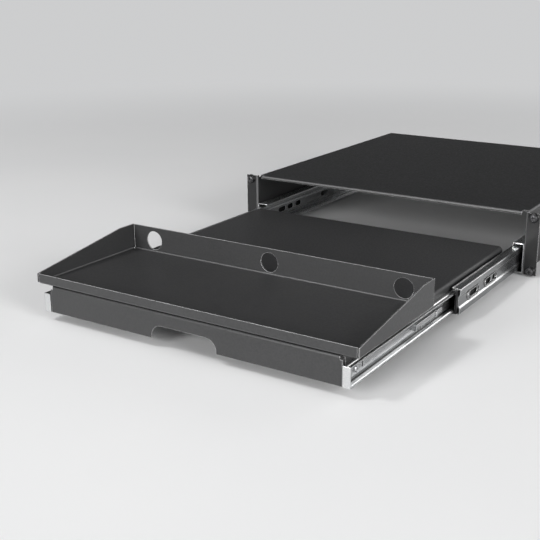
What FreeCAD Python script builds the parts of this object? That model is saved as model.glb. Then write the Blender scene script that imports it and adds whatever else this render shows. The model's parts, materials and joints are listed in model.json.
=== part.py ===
import FreeCAD, Part
import math
import os

# Rack drawer: a 2U pull-out keyboard drawer on three-part ball slides, shown pulled out.
# Millimetres. X runs across the rack, Y back into it, Z up. The origin is the centre of the rack
# screws' pattern, on the plane where the ears meet the rack.

Vector = FreeCAD.Vector
X_AXIS = Vector(1, 0, 0)
Y_AXIS = Vector(0, 1, 0)
Z_AXIS = Vector(0, 0, 1)

# Rack interface, two units high
EAR_WIDTH_OVERALL = 482.6
EAR_HEIGHT = 88.1
EAR_REACH = 18.5
RACK_HOLE_INSET_X = 8.75
RACK_HOLE_INSET_Z = 5.95
RACK_SLOT_LENGTH = 10.3
RACK_SLOT_HEIGHT = 6.8
RACK_SCREW_D = 6.0
RACK_NECK_D = 5.3
RACK_SCREW_REACH = 14.0
RACK_HEAD_D = 10.6
RACK_CROWN_D = 7.0
RACK_HEAD_HEIGHT = 3.4
CUP_D = 14.4
CUP_RIM_D = 11.6
CUP_EDGE = 0.8
CUP_HEIGHT = 2.6

# Housing
HOUSING_DEPTH = 470.0
HOUSING_SHEET = 1.5
HOUSING_BEND = 1.5
TOP_EDGE_DROP = 4.0
CORNER_NOTCH = 7.0

# Pull-out position and travel
CLOSED_LIP_Y = -4.0
TRAVEL_MARGIN = 2.0
MIDDLE_SHARE = 0.46

# Slides
MEMBER_SHEET = 1.2
MEMBER_BEND = 0.8
SLIDE_THICKNESS = 20.0
SLIDE_FOOT_GAP = 0.5
SLIDE_REVEAL = 3.5
OUTER_REAR_GAP = 10.0
OUTER_LIP = 3.6
MIDDLE_WEB = 7.0
MIDDLE_SHOULDER = 2.0
MIDDLE_RECESS = 6.3
MIDDLE_STEP = 2.4
MIDDLE_RIM = 1.0
MIDDLE_CLOSED_Y = 5.0
INNER_PAST_SHELF = 1.0
INNER_ROOM = 2.8
INNER_HALF_HEIGHT = 11.6
GROOVE_DEPTH = 1.2
GROOVE_FLOOR = 2.6
GROOVE_SIDE = 1.0
GROOVE_LAND = 1.0
INNER_BALL_D = 4.0
OUTER_BALL_D = 3.2
RACE_GAP = 0.3

# Ball cages
CAGE_SHEET = 0.8
CAGE_BALL_PLAY = 0.15
CAGE_TIP_GAP = 0.5
OUTER_CAGE_SETBACK = 12.0
OUTER_CAGE_END_GAP = 28.0
INNER_CAGE_SETBACK = 17.0
INNER_CAGE_END_GAP = 11.0
BALLS_PER_ROW = 2
BALL_FACETS = 8
CAGE_END = 10.0

# Oval holes of the middle and outer members' webs: where they start behind the front end, and length
WEB_HOLE_HEIGHT = 8.4
MIDDLE_FRONT_SLOTS = ((35.0, 24.0), (88.0, 17.5), (111.5, 10.0))
OUTER_SLOTS = ((52.0, 14.0),)

# Oval holes near the middle member's rear: where they start ahead of the rear end, and length
MIDDLE_REAR_SLOTS = ((183.0, 22.0), (155.0, 17.0), (130.0, 17.0), (46.0, 26.0))

# Raised oval rims round the middle member's front holes: distance from the front end, length
EMBOSS_PLACES = ((26.0, 38.0), (83.0, 43.0))
EMBOSS_WALL = 1.2
EMBOSS_ROOM = 0.4
EMBOSS_RISE = 1.0

# Plastic guides and stops
BUMPER_LENGTH = 10.0
BUMPER_AHEAD = 4.0
BUMPER_WEB = 2.3
BUMPER_GAP = 0.3
STOP_LENGTH = 12.0
STOP_GAP = 1.0
STOP_END_GAP = 2.0

# Rivets of the outer members
RIVET_D = 4.8
RIVET_HEAD_D = 8.0
RIVET_HEAD_HEIGHT = 1.1
RIVET_INSET = 24.0
HOLE_PLAY = 0.2

# Shelf
SHELF_SHEET = 1.5
SHELF_BEND = 2.5
SHELF_REAR_GAP = 25.0
SHELF_FLANGE = 32.0
FRONT_PANEL_DROP = 33.8
REAR_FLANGE = 22.0
PANEL_SIDE_GAP = 1.0
PANEL_SETBACK = 1.2
FINGER_WIDTH = 90.0
FINGER_HEIGHT = 16.5
FINGER_RADIUS = 14.0
TRAY_OVER_SLIDE = 0.9

# Keyboard tray
TRAY_SIDE_GAP = 1.3
TRAY_SHEET = 1.2
TRAY_BEND = 1.6
TRAY_DEPTH = 173.5
TRAY_LIP = 12.4
TRAY_WALL = 34.2
TRAY_FLAT_TOP = 26.5
TRAY_SEAM = 1.4
CABLE_HOLE_D = 25.0
CABLE_HOLE_HEIGHT = 16.4
CABLE_HOLE_INSET = 37.0

# Inner members' screws and slit
SCREW_D = 4.0
SCREW_HEAD_D = 8.0
SCREW_HEAD_HEIGHT = 2.4
SCREW_PAST_FLANGE = 2.5
INNER_SCREW_FRONT = 25.0
INNER_SCREW_REAR = 46.0
INNER_SLIT_PLACE = 40.0
INNER_SLIT_WIDTH = 2.0
INNER_SLIT_HEIGHT = 7.0

# Release levers
LEVER_PIVOT_PLACE = 208.0
LEVER_PIVOT_RISE = 1.5
LEVER_ARM = 54.0
LEVER_HUB_R = 4.2
LEVER_ARM_TOP = 3.4
LEVER_ARM_UNDER = 2.2
LEVER_TIP_UNDER = 0.6
LEVER_RIB_PLACES = (15.0, 39.0, 45.5, 52.0)
LEVER_RIB_LENGTH = 2.2
LEVER_RIB_DROP = 4.0
LEVER_HOOK = 16.0
LEVER_HOOK_RISE = 3.1
LEVER_CATCH = 4.0
LEVER_CATCH_RELIEF = 1.0
LEVER_GAP = 0.4
PIN_D = 4.0
PIN_HEAD_D = 7.0
PIN_HEAD_HEIGHT = 0.9
PIN_PLAY = 0.08

# Shortest straight stretch drawn between two bends
SHORTEST_EDGE = 1e-6

# Places worked out from the sizes above
EAR_BOTTOM = -EAR_HEIGHT / 2
EAR_TOP = EAR_HEIGHT / 2
RACK_HOLE_X = EAR_WIDTH_OVERALL / 2 - RACK_HOLE_INSET_X
RACK_HOLE_Z = EAR_HEIGHT / 2 - RACK_HOLE_INSET_Z
WALL_X = EAR_WIDTH_OVERALL / 2 - EAR_REACH - HOUSING_SHEET
PULLED_OUT = HOUSING_DEPTH - TRAVEL_MARGIN
LIP_Y = CLOSED_LIP_Y - PULLED_OUT
MIDDLE_FRONT_Y = MIDDLE_CLOSED_Y - MIDDLE_SHARE * PULLED_OUT

MIDDLE_INNER_FACE = INNER_HALF_HEIGHT - GROOVE_DEPTH + INNER_BALL_D + 2 * RACE_GAP
MIDDLE_OUTER_FACE = MIDDLE_INNER_FACE + MEMBER_SHEET
SHOULDER_FACE = MIDDLE_WEB - MIDDLE_SHOULDER
EMBOSS_HEIGHT = WEB_HOLE_HEIGHT + 2 * (EMBOSS_ROOM + EMBOSS_WALL)
OUTER_INNER_FACE = MIDDLE_OUTER_FACE + OUTER_BALL_D + 2 * RACE_GAP
OUTER_HALF_HEIGHT = OUTER_INNER_FACE + MEMBER_SHEET
SLIDE_Z = EAR_BOTTOM + SLIDE_FOOT_GAP + OUTER_HALF_HEIGHT
OUTER_DEPTH = SLIDE_THICKNESS - SLIDE_REVEAL
INNER_TIP = MIDDLE_WEB + MEMBER_SHEET + INNER_ROOM

SHELF_DEPTH = HOUSING_DEPTH - SHELF_REAR_GAP
OUTER_LENGTH = HOUSING_DEPTH - OUTER_REAR_GAP
MIDDLE_LENGTH = OUTER_LENGTH - MIDDLE_CLOSED_Y - STOP_GAP - STOP_LENGTH - STOP_END_GAP
INNER_LENGTH = SHELF_DEPTH + INNER_PAST_SHELF
MIDDLE_SLOTS = list(MIDDLE_FRONT_SLOTS)
MIDDLE_SLOTS += [(MIDDLE_LENGTH - ahead, length) for ahead, length in MIDDLE_REAR_SLOTS]
RIVET_PLACES = (RIVET_INSET, OUTER_LENGTH - RIVET_INSET)
INNER_SCREW_PLACES = (INNER_SCREW_FRONT, INNER_LENGTH - INNER_SCREW_REAR)
OUTER_OVERLAP = MIDDLE_FRONT_Y + MIDDLE_LENGTH
INNER_OVERLAP = LIP_Y + INNER_LENGTH - MIDDLE_FRONT_Y
OUTER_CAGE_LENGTH = OUTER_OVERLAP - OUTER_CAGE_SETBACK - OUTER_CAGE_END_GAP
INNER_CAGE_LENGTH = INNER_OVERLAP - INNER_CAGE_SETBACK - INNER_CAGE_END_GAP

SHELF_TOP = SLIDE_Z + OUTER_HALF_HEIGHT + TRAY_OVER_SLIDE
SHELF_FRONT_Y = LIP_Y + PANEL_SETBACK
SHELF_HALF_WIDTH = WALL_X - SLIDE_THICKNESS
TRAY_HALF_WIDTH = WALL_X - TRAY_SIDE_GAP
TRAY_BACK_Y = LIP_Y + TRAY_DEPTH


def folded_face(middle_line, sheet, bend, place):
    """Section of a folded sheet: a line through the middle of the sheet, with a bend at each corner.

    bend is the inside radius, and place turns the section's two coordinates into a point in space.
    """
    half = sheet / 2
    radius = bend + half
    corners = [Vector(a, b, 0) for a, b in middle_line]
    left = []
    right = []
    start = corners[0]
    for i in range(1, len(corners)):
        along = (corners[i] - corners[i - 1]).normalize()
        across = Vector(-along.y, along.x, 0)
        end = corners[i]
        bent = i < len(corners) - 1
        if bent:
            onward = (corners[i + 1] - corners[i]).normalize()
            turn = along.getAngle(onward)
            side = 1 if along.x * onward.y - along.y * onward.x > 0 else -1
            setback = radius * math.tan(turn / 2)
            end = corners[i] - along * setback
        if (end - start).Length > SHORTEST_EDGE:
            left.append((start + across * half, None, end + across * half))
            right.append((start - across * half, None, end - across * half))
        if bent:
            centre = end + across * (side * radius)
            outward = (corners[i] - centre).normalize()
            after = corners[i] + onward * setback
            after_across = Vector(-onward.y, onward.x, 0)
            for edges, offset in ((left, half), (right, -half)):
                middle = centre + outward * (radius - side * offset)
                edges.append((end + across * offset, middle, after + after_across * offset))
            start = after
    loop = list(left)
    loop.append((left[-1][2], None, right[-1][2]))
    loop.extend((finish, middle, begin) for begin, middle, finish in reversed(right))
    loop.append((right[0][0], None, left[0][0]))
    edges = []
    for begin, middle, finish in loop:
        ends = [place(point.x, point.y) for point in (begin, finish)]
        if middle is None:
            edges.append(Part.LineSegment(*ends).toShape())
        else:
            edges.append(Part.Arc(ends[0], place(middle.x, middle.y), ends[1]).toShape())
    return Part.Face(Part.Wire(edges))


def mitred_face(middle_line, sheet, place):
    """Section of a thin rolled sheet with sharp corners, from a line through the middle of the sheet."""
    corners = [Vector(a, b, 0) for a, b in middle_line]
    along = [(after - before).normalize() for before, after in zip(corners, corners[1:])]
    along = along[:1] + along + along[-1:]
    left = []
    right = []
    for corner, before, after in zip(corners, along, along[1:]):
        across = Vector(-before.y - after.y, before.x + after.x, 0).normalize()
        reach = sheet / 2 / math.cos(before.getAngle(after) / 2)
        left.append(corner + across * reach)
        right.append(corner - across * reach)
    points = [place(point.x, point.y) for point in left + right[::-1]]
    return Part.Face(Part.makePolygon(points + points[:1]))


def joined(shapes):
    """One solid from shapes that overlap or share faces."""
    return shapes[0].fuse(shapes[1:]).removeSplitter()


def mirrored(shape):
    """The same piece on the left side."""
    return shape.mirror(Vector(0, 0, 0), X_AXIS)


def rod(diameter, start, direction, length):
    """A round bar."""
    return Part.makeCylinder(diameter / 2, length, start, direction)


def turned(profile, base, axis):
    """A body of revolution from (radius, height) points, standing at base along axis."""
    points = [Vector(r, 0, h) for r, h in profile]
    face = Part.Face(Part.makePolygon(points + points[:1]))
    body = face.revolve(Vector(0, 0, 0), Z_AXIS, 360)
    body.Placement = FreeCAD.Placement(base, FreeCAD.Rotation(Z_AXIS, axis))
    return body


def headed_pin(diameter, head_diameter, head_height, length, seat, axis):
    """A pin of that length past its seat, with a flat round head on the other side."""
    r = diameter / 2
    head = head_diameter / 2
    profile = ((0, -head_height), (head, -head_height), (head, 0), (r, 0), (r, length), (0, length))
    return turned(profile, seat, axis)


def slot_cut(centre, length, height, normal_axis, depth, along):
    """A round-ended slot, long in the direction along, cut through depth both ways."""
    up = normal_axis.cross(along)
    radius = height / 2
    reach = length / 2 - radius
    signs = ((-1, -1), (1, -1), (1, 1), (-1, 1))
    corners = [centre + along * (a * reach) + up * (b * radius) for a, b in signs]
    edges = [
        Part.LineSegment(corners[0], corners[1]).toShape(),
        Part.Arc(corners[1], centre + along * (length / 2), corners[2]).toShape(),
        Part.LineSegment(corners[2], corners[3]).toShape(),
        Part.Arc(corners[3], centre - along * (length / 2), corners[0]).toShape(),
    ]
    face = Part.Face(Part.Wire(edges))
    face.translate(normal_axis * -depth)
    return face.extrude(normal_axis * (2 * depth))


def prism(points, direction):
    """A straight body on a flat outline."""
    return Part.Face(Part.makePolygon(points + points[:1])).extrude(direction)


def slide_place(y):
    """Places a slide section: depth from the housing's side towards the drawer, and height."""
    return lambda depth, height: Vector(WALL_X - depth, y, SLIDE_Z + height)


def slide_point(depth, y, height):
    return slide_place(y)(depth, height)


def slide_box(depth_from, depth_to, y_from, y_to, height_from, height_to):
    """A straight-sided body in slide coordinates."""
    corners = ((depth_from, height_from), (depth_to, height_from),
               (depth_to, height_to), (depth_from, height_to))
    place = slide_place(y_from)
    return prism([place(d, h) for d, h in corners], Y_AXIS * (y_to - y_from))


def housing():
    """Top plate, sides and ears, folded from one sheet."""
    half = HOUSING_SHEET / 2
    mid_x = WALL_X + half
    mid_top = EAR_TOP - half
    ear_mid_y = -half
    front = HOUSING_SHEET + HOUSING_BEND + CORNER_NOTCH
    ear_line = ((mid_x, HOUSING_DEPTH), (mid_x, ear_mid_y), (EAR_WIDTH_OVERALL / 2, ear_mid_y))
    ear = folded_face(ear_line, HOUSING_SHEET, HOUSING_BEND, lambda x, y: Vector(x, y, EAR_BOTTOM))
    side = ear.extrude(Z_AXIS * EAR_HEIGHT)
    # The side stops below the top bend, which starts behind a corner notch
    bend_zone = HOUSING_SHEET + HOUSING_BEND
    side = side.cut(Part.makeBox(2 * bend_zone, HOUSING_DEPTH, bend_zone,
                                 Vector(WALL_X - bend_zone, bend_zone, EAR_TOP - bend_zone)))
    hoop_line = ((-mid_x, 0), (-mid_x, mid_top), (mid_x, mid_top), (mid_x, 0))
    hoop = folded_face(hoop_line, HOUSING_SHEET, HOUSING_BEND, lambda x, z: Vector(x, front, z))
    hoop = hoop.extrude(Y_AXIS * (HOUSING_DEPTH - front))
    hem_line = ((front + half, mid_top), (half, mid_top), (half, EAR_TOP - TOP_EDGE_DROP))
    hem_reach = WALL_X - CORNER_NOTCH
    hem = folded_face(hem_line, HOUSING_SHEET, HOUSING_BEND, lambda y, z: Vector(-hem_reach, y, z))
    hem = hem.extrude(X_AXIS * (2 * hem_reach))
    body = joined([side, mirrored(side), hoop, hem])
    cuts = []
    for sx in (-1, 1):
        for sz in (-1, 1):
            centre = Vector(sx * RACK_HOLE_X, -half, sz * RACK_HOLE_Z)
            cuts.append(slot_cut(centre, RACK_SLOT_LENGTH, RACK_SLOT_HEIGHT, Y_AXIS, HOUSING_SHEET, X_AXIS))
        for y in RIVET_PLACES:
            start = Vector(sx * (WALL_X - HOUSING_SHEET), y, SLIDE_Z)
            cuts.append(rod(RIVET_D + HOLE_PLAY, start, X_AXIS * sx, 3 * HOUSING_SHEET))
    return body.cut(cuts)


def outer_slide():
    """Outer C member: web on the housing's side, flanges that end in turned-in lips."""
    half = MEMBER_SHEET / 2
    flange = OUTER_HALF_HEIGHT - half
    tip = OUTER_DEPTH - half
    lip = OUTER_HALF_HEIGHT - OUTER_LIP
    line = ((tip, lip), (tip, flange), (half, flange), (half, -flange), (tip, -flange), (tip, -lip))
    body = folded_face(line, MEMBER_SHEET, MEMBER_BEND, slide_place(0)).extrude(Y_AXIS * OUTER_LENGTH)
    cuts = []
    for y in RIVET_PLACES:
        cuts.append(rod(RIVET_D + HOLE_PLAY, slide_point(-half, y, 0), -X_AXIS, 2 * MEMBER_SHEET))
    for from_front, length in OUTER_SLOTS:
        centre = slide_point(half, from_front + length / 2, 0)
        cuts.append(slot_cut(centre, length, WEB_HOLE_HEIGHT, X_AXIS, MEMBER_SHEET, Y_AXIS))
    return body.cut(cuts)


def raised_rim(from_front, length):
    """Oval rim pressed up round the holes of the middle member's web."""
    centre = slide_point(MIDDLE_WEB, MIDDLE_FRONT_Y + from_front + length / 2, 0)
    outside = slot_cut(centre, length, EMBOSS_HEIGHT, X_AXIS, EMBOSS_RISE, Y_AXIS)
    inside = slot_cut(centre, length - 2 * EMBOSS_WALL, EMBOSS_HEIGHT - 2 * EMBOSS_WALL,
                      X_AXIS, 2 * EMBOSS_RISE, Y_AXIS)
    return outside.cut(inside)


def middle_slide():
    """Middle C member: it opens towards the drawer, with shoulders beside a recessed web with oval holes.

    The flanges end in short turned-out rims.
    """
    half = MEMBER_SHEET / 2
    flange = MIDDLE_OUTER_FACE - half
    web = MIDDLE_WEB + half
    shoulder = SHOULDER_FACE + half
    tip = OUTER_DEPTH - half
    rim = MIDDLE_OUTER_FACE + MIDDLE_RIM
    upper = [(tip, rim), (tip, flange), (shoulder, flange), (shoulder, MIDDLE_RECESS + MIDDLE_STEP),
             (web, MIDDLE_RECESS)]
    line = upper + [(depth, -height) for depth, height in reversed(upper)]
    body = folded_face(line, MEMBER_SHEET, MEMBER_BEND / 2, slide_place(MIDDLE_FRONT_Y))
    body = body.extrude(Y_AXIS * MIDDLE_LENGTH)
    body = joined([body] + [raised_rim(from_front, length) for from_front, length in EMBOSS_PLACES])
    cuts = []
    for from_front, length in MIDDLE_SLOTS:
        centre = slide_point(web, MIDDLE_FRONT_Y + from_front + length / 2, 0)
        cuts.append(slot_cut(centre, length, WEB_HOLE_HEIGHT, X_AXIS, MEMBER_SHEET, Y_AXIS))
    return body.cut(cuts)


def inner_slide():
    """Inner member: web on the shelf's side, flanges pressed inwards to a ball groove, closed front end."""
    half = MEMBER_SHEET / 2
    flange = INNER_HALF_HEIGHT - half
    web = SLIDE_THICKNESS - half
    groove = flange - GROOVE_DEPTH
    steps = [INNER_TIP, INNER_TIP + GROOVE_LAND]
    steps.append(steps[-1] + GROOVE_SIDE)
    steps.append(steps[-1] + GROOVE_FLOOR)
    steps.append(steps[-1] + GROOVE_SIDE)
    levels = (flange, flange, groove, groove, flange)
    upper = list(zip(steps, levels)) + [(web, flange)]
    line = upper + [(depth, -height) for depth, height in reversed(upper)]
    body = mitred_face(line, MEMBER_SHEET, slide_place(LIP_Y)).extrude(Y_AXIS * INNER_LENGTH)
    end = slide_box(INNER_TIP, SLIDE_THICKNESS, LIP_Y, LIP_Y + MEMBER_SHEET,
                    -INNER_HALF_HEIGHT, INNER_HALF_HEIGHT)
    body = joined([body, end])
    cuts = []
    for place in INNER_SCREW_PLACES:
        start = slide_point(web - MEMBER_SHEET, LIP_Y + place, 0)
        cuts.append(rod(SCREW_D + HOLE_PLAY, start, -X_AXIS, 2 * MEMBER_SHEET))
    pivot = slide_point(web - MEMBER_SHEET, LIP_Y + LEVER_PIVOT_PLACE, LEVER_PIVOT_RISE)
    cuts.append(rod(PIN_D, pivot, -X_AXIS, 2 * MEMBER_SHEET))
    slit_y = LIP_Y + INNER_SLIT_PLACE
    cuts.append(slide_box(web - MEMBER_SHEET, web + MEMBER_SHEET, slit_y - INNER_SLIT_WIDTH / 2,
                          slit_y + INNER_SLIT_WIDTH / 2, -INNER_SLIT_HEIGHT / 2, INNER_SLIT_HEIGHT / 2))
    return body.cut(cuts)


def cage(web, tip, level, y, length):
    """Channel-shaped ball cage, before its pockets are cut."""
    half = CAGE_SHEET / 2
    line = ((tip, level), (web + half, level), (web + half, -level), (tip, -level))
    return mitred_face(line, CAGE_SHEET, slide_place(y)).extrude(Y_AXIS * length)


def ball_places(y, length, depth, level):
    """Centres of the two rows of balls in a cage."""
    pitch = (length - 2 * CAGE_END) / (BALLS_PER_ROW - 1)
    rows = []
    for height in (level, -level):
        rows.extend(slide_point(depth, y + CAGE_END + k * pitch, height) for k in range(BALLS_PER_ROW))
    return rows


def ball(diameter, centre):
    """A bearing ball, in flat facets between poles that point along Y."""
    rings = BALL_FACETS // 2
    turns = [2 * math.pi * k / BALL_FACETS for k in range(BALL_FACETS)]
    poles = [centre - Y_AXIS * (diameter / 2), centre + Y_AXIS * (diameter / 2)]
    loops = []
    for k in range(1, rings):
        tilt = math.pi * k / rings
        radius = diameter / 2 * math.sin(tilt)
        shift = Y_AXIS * (-diameter / 2 * math.cos(tilt))
        loops.append([centre + shift + Vector(radius * math.cos(a), 0, radius * math.sin(a)) for a in turns])
    outlines = []
    for k in range(BALL_FACETS):
        after = (k + 1) % BALL_FACETS
        outlines.append([poles[0], loops[0][k], loops[0][after]])
        outlines.append([poles[1], loops[-1][k], loops[-1][after]])
        for lower, upper in zip(loops, loops[1:]):
            outlines.append([lower[k], lower[after], upper[after], upper[k]])
    faces = [Part.Face(Part.makePolygon(points + points[:1])) for points in outlines]
    return Part.Solid(Part.Shell(faces))


def cage_with_balls(web, tip, level, y, length, ball_depth, ball_level, diameter):
    """A cage and its balls, each in a square pocket."""
    centres = ball_places(y, length, ball_depth, ball_level)
    reach = diameter / 2 + CAGE_BALL_PLAY
    corner = Vector(reach, reach, 2 * CAGE_SHEET)
    pockets = [Part.makeBox(2 * reach, 2 * reach, 4 * CAGE_SHEET, centre - corner) for centre in centres]
    balls = [ball(diameter, centre) for centre in centres]
    return cage(web, tip, level, y, length).cut(pockets), balls


def outer_cage():
    """Cage between outer and middle member."""
    level = MIDDLE_OUTER_FACE + RACE_GAP + OUTER_BALL_D / 2
    tip = OUTER_DEPTH - MEMBER_SHEET - CAGE_TIP_GAP
    web = (MEMBER_SHEET + SHOULDER_FACE - CAGE_SHEET) / 2
    depth = tip - OUTER_BALL_D / 2 - CAGE_SHEET
    return cage_with_balls(web, tip, level, OUTER_CAGE_SETBACK, OUTER_CAGE_LENGTH,
                           depth, level, OUTER_BALL_D)


def inner_cage():
    """Cage between middle and inner member, its balls in the inner member's groove."""
    level = (INNER_HALF_HEIGHT + MIDDLE_INNER_FACE) / 2
    ball_level = MIDDLE_INNER_FACE - RACE_GAP - INNER_BALL_D / 2
    groove = INNER_TIP + GROOVE_LAND + GROOVE_SIDE + GROOVE_FLOOR / 2
    tip = groove + INNER_BALL_D / 2 + CAGE_SHEET
    web = (MIDDLE_WEB + MEMBER_SHEET + INNER_TIP - CAGE_SHEET) / 2
    y = MIDDLE_FRONT_Y + INNER_CAGE_SETBACK
    return cage_with_balls(web, tip, level, y, INNER_CAGE_LENGTH, groove, ball_level, INNER_BALL_D)


def front_bumper():
    """Plastic guide in the middle member's front end and a little ahead of it, clear of the inner member."""
    back = MIDDLE_WEB + MEMBER_SHEET
    top = MIDDLE_INNER_FACE - BUMPER_GAP
    under = INNER_HALF_HEIGHT + BUMPER_GAP
    tip = OUTER_DEPTH - MEMBER_SHEET
    front = MIDDLE_FRONT_Y - BUMPER_AHEAD
    face = back + BUMPER_WEB
    outline = ((back, -top), (tip, -top), (tip, -under), (face, -under),
               (face, under), (tip, under), (tip, top), (back, top))
    place = slide_place(front)
    return prism([place(d, h) for d, h in outline], Y_AXIS * BUMPER_LENGTH)


def rear_stop():
    """Plastic stop that fills the outer member's rear end."""
    top = OUTER_INNER_FACE - BUMPER_GAP
    tip = OUTER_DEPTH - MEMBER_SHEET - BUMPER_GAP
    front = MIDDLE_CLOSED_Y + MIDDLE_LENGTH + STOP_GAP
    body = slide_box(MEMBER_SHEET, tip, front, front + STOP_LENGTH, -top, top)
    lengthwise = [edge for edge in body.Edges if edge.BoundBox.YLength > STOP_LENGTH / 2]
    return body.makeFillet(MEMBER_BEND, lengthwise)


def slide_rivets():
    """Rivets through the outer member's web and the housing's side, set flush outside."""
    right = [headed_pin(RIVET_D, RIVET_HEAD_D, RIVET_HEAD_HEIGHT, MEMBER_SHEET + HOUSING_SHEET,
                        slide_point(MEMBER_SHEET, y, 0), X_AXIS) for y in RIVET_PLACES]
    return right + [mirrored(rivet) for rivet in right]


def rack_screws():
    """Pan-head rack screws: a thin neck in cup washer and ear, the thread from the ear's back on."""
    r = RACK_SCREW_D / 2
    neck = RACK_NECK_D / 2
    head = RACK_HEAD_D / 2
    seat = -HOUSING_SHEET - CUP_HEIGHT
    crown = seat - RACK_HEAD_HEIGHT
    profile = ((0, crown), (RACK_CROWN_D / 2, crown), (head, (seat + crown) / 2), (head, seat), (neck, seat),
               (neck, 0), (r, 0), (r, RACK_SCREW_REACH), (0, RACK_SCREW_REACH))
    return [turned(profile, base, Y_AXIS) for base in rack_hole_centres()]


def rack_hole_centres():
    """The four rack holes, on the plane where the ears meet the rack."""
    return [Vector(sx * RACK_HOLE_X, 0, sz * RACK_HOLE_Z) for sx in (-1, 1) for sz in (-1, 1)]


def cup_washers():
    """Cup washers under the rack screws."""
    bore = RACK_SCREW_D / 2 + HOLE_PLAY
    edge = CUP_D / 2
    front = -HOUSING_SHEET - CUP_HEIGHT
    profile = ((bore, -HOUSING_SHEET), (edge, -HOUSING_SHEET), (edge, -HOUSING_SHEET - CUP_EDGE),
               (CUP_RIM_D / 2, front), (bore, front))
    return [turned(profile, base, Y_AXIS) for base in rack_hole_centres()]


def shelf():
    """Folded shelf: plate, side flanges, front panel with the finger cut-out, rear flange."""
    half = SHELF_SHEET / 2
    mid_top = SHELF_TOP - half
    side_x = SHELF_HALF_WIDTH - half
    bend_zone = SHELF_SHEET + SHELF_BEND
    back = LIP_Y + SHELF_DEPTH
    flange_end = SHELF_TOP - SHELF_FLANGE
    saddle_line = ((-side_x, flange_end), (-side_x, mid_top), (side_x, mid_top), (side_x, flange_end))
    saddle_front = SHELF_FRONT_Y + bend_zone
    saddle = folded_face(saddle_line, SHELF_SHEET, SHELF_BEND, lambda x, z: Vector(x, saddle_front, z))
    saddle = saddle.extrude(Y_AXIS * (back - bend_zone - saddle_front))
    reach = SHELF_HALF_WIDTH - bend_zone
    panel_bottom = SHELF_TOP - FRONT_PANEL_DROP
    skirt_line = ((SHELF_FRONT_Y + half, panel_bottom), (SHELF_FRONT_Y + half, mid_top),
                  (back - half, mid_top), (back - half, SHELF_TOP - REAR_FLANGE))
    skirt = folded_face(skirt_line, SHELF_SHEET, SHELF_BEND, lambda y, z: Vector(-reach, y, z))
    skirt = skirt.extrude(X_AXIS * (2 * reach))
    # The front panel reaches past the bends, to the outside of the side flanges
    panel_reach = SHELF_HALF_WIDTH - PANEL_SIDE_GAP
    panel_top = SHELF_TOP - bend_zone - PANEL_SIDE_GAP
    panel = Part.makeBox(2 * panel_reach, SHELF_SHEET, panel_top - panel_bottom,
                         Vector(-panel_reach, SHELF_FRONT_Y, panel_bottom))
    body = joined([saddle, skirt, panel])
    cuts = [finger_cut(panel_bottom)]
    for place in INNER_SCREW_PLACES:
        for sx in (-1, 1):
            start = Vector(sx * (SHELF_HALF_WIDTH - 2 * SHELF_SHEET), LIP_Y + place, SLIDE_Z)
            cuts.append(rod(SCREW_D + HOLE_PLAY, start, X_AXIS * sx, 3 * SHELF_SHEET))
    return body.cut(cuts)


def finger_cut(bottom):
    """The finger cut-out in the front panel's lower edge, with round upper corners."""
    half = FINGER_WIDTH / 2
    top = bottom + FINGER_HEIGHT
    bend = FINGER_RADIUS
    diagonal = bend * (1 - math.sqrt(0.5))
    y = SHELF_FRONT_Y - SHELF_SHEET
    below = bottom - SHELF_SHEET

    def at(x, z):
        return Vector(x, y, z)

    edges = [
        Part.LineSegment(at(-half, below), at(half, below)).toShape(),
        Part.LineSegment(at(half, below), at(half, top - bend)).toShape(),
        Part.Arc(at(half, top - bend), at(half - diagonal, top - diagonal), at(half - bend, top)).toShape(),
        Part.LineSegment(at(half - bend, top), at(bend - half, top)).toShape(),
        Part.Arc(at(bend - half, top), at(diagonal - half, top - diagonal), at(-half, top - bend)).toShape(),
        Part.LineSegment(at(-half, top - bend), at(-half, below)).toShape(),
    ]
    return Part.Face(Part.Wire(edges)).extrude(Y_AXIS * (3 * SHELF_SHEET))


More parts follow.
